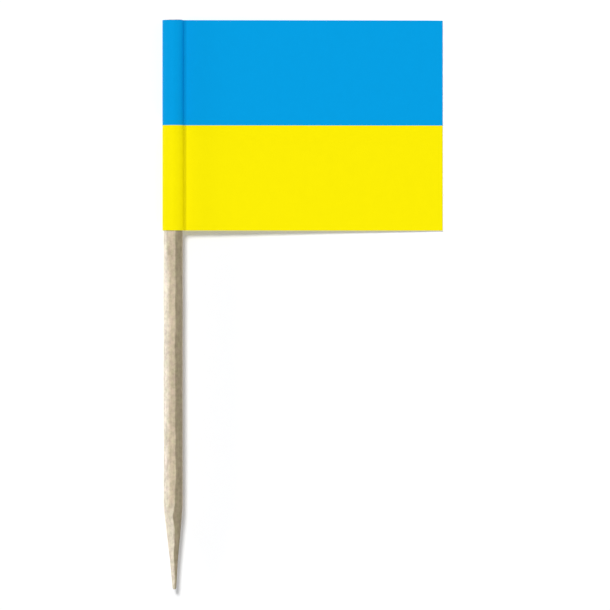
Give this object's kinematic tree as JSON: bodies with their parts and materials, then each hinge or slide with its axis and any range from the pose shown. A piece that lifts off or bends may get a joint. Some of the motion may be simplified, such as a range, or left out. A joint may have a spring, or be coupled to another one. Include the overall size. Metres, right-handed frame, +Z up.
{
  "type": "miniature flag",
  "caption": "Miniature flag: a banded rectangular paper sheet folded round a sharpened round wooden pick and glued to itself, for marking or decorating food.",
  "frame": {"origin": "centre of the bounding box's base, on the table that the flag lies on", "axes": "+Y along the pick from its point to its cut end, +X from the pick to the flag's free edge, +Z up from the table"},
  "size_m": [0.032, 0.065, 0.0024],
  "materials": {
    "bare_wood": "bare, unvarnished, pale and close-grained along the pick",
    "printed_paper": "smooth uncoated print: upper half sky blue, lower half yellow, bare white paper at the cut edges"
  },
  "bodies": {
    "root": {"wooden_pick": "bare_wood", "paper_flag": "printed_paper"}
  },
  "joints": []
}
